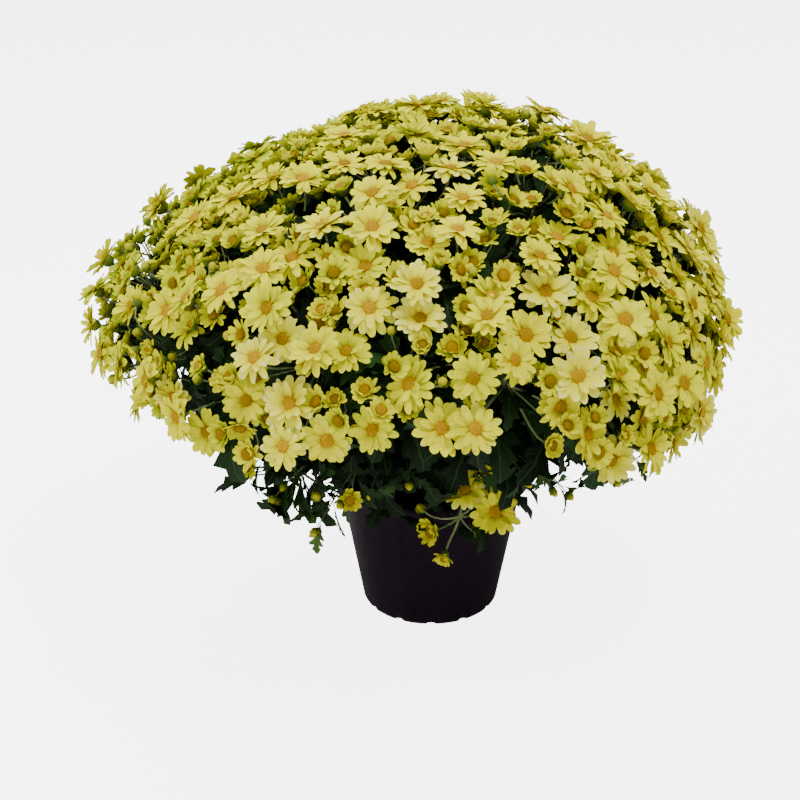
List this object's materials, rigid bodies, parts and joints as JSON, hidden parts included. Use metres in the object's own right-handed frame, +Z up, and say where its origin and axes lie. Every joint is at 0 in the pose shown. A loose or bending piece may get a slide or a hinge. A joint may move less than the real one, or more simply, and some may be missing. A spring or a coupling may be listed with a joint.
{
  "type": "pot chrysanthemum",
  "caption": "Potted garden chrysanthemum in full flower: leafy stems in potting mix carry a wide dome of yellow daisy-like blooms, half-open cups and buds over a tapered nursery pot.",
  "frame": {"origin": "centre of the pot's flat base, where it rests", "axes": "+Z up, -Y the front of the picture, +X to the right of it"},
  "size_m": [0.6543, 0.6322, 0.5363],
  "materials": {
    "pot_plastic": "satin moulded polypropylene",
    "potting_mix": "moist peat and bark mix",
    "stem_and_leaf": "matt living leaf and stalk",
    "flower": "soft matt petals on pale stalks"
  },
  "bodies": {
    "root": {"pot": "pot_plastic", "potting_mix": "potting_mix", "spray_01": "flower", "spray_02": "flower", "spray_03": "flower", "spray_04": "flower", "spray_05": "flower", "spray_06": "flower", "spray_07": "flower", "spray_08": "flower", "spray_09": "flower", "spray_10": "flower", "spray_11": "flower", "spray_12": "flower", "spray_13": "flower", "spray_14": "flower", "spray_15": "flower", "spray_16": "flower", "spray_17": "flower", "spray_18": "flower", "spray_19": "flower", "spray_20": "flower", "spray_21": "flower", "spray_22": "flower", "spray_23": "flower", "spray_24": "flower", "spray_25": "flower", "spray_26": "flower", "spray_27": "flower", "spray_28": "flower", "spray_29": "flower", "spray_30": "flower", "spray_31": "flower", "spray_32": "flower", "spray_33": "flower", "spray_34": "flower", "spray_35": "flower", "spray_36": "flower", "spray_37": "flower", "spray_38": "flower", "spray_39": "flower", "spray_40": "flower", "spray_41": "flower", "spray_42": "flower", "spray_43": "flower", "spray_44": "flower", "spray_45": "flower", "spray_front_low": "flower", "spray_left_low": "flower", "stem_1": "stem_and_leaf", "stem_2": "stem_and_leaf", "stem_3": "stem_and_leaf", "stem_4": "stem_and_leaf", "stem_5": "stem_and_leaf", "stem_6": "stem_and_leaf", "stem_7": "stem_and_leaf", "stem_8": "stem_and_leaf", "stem_9": "stem_and_leaf"}
  },
  "joints": []
}
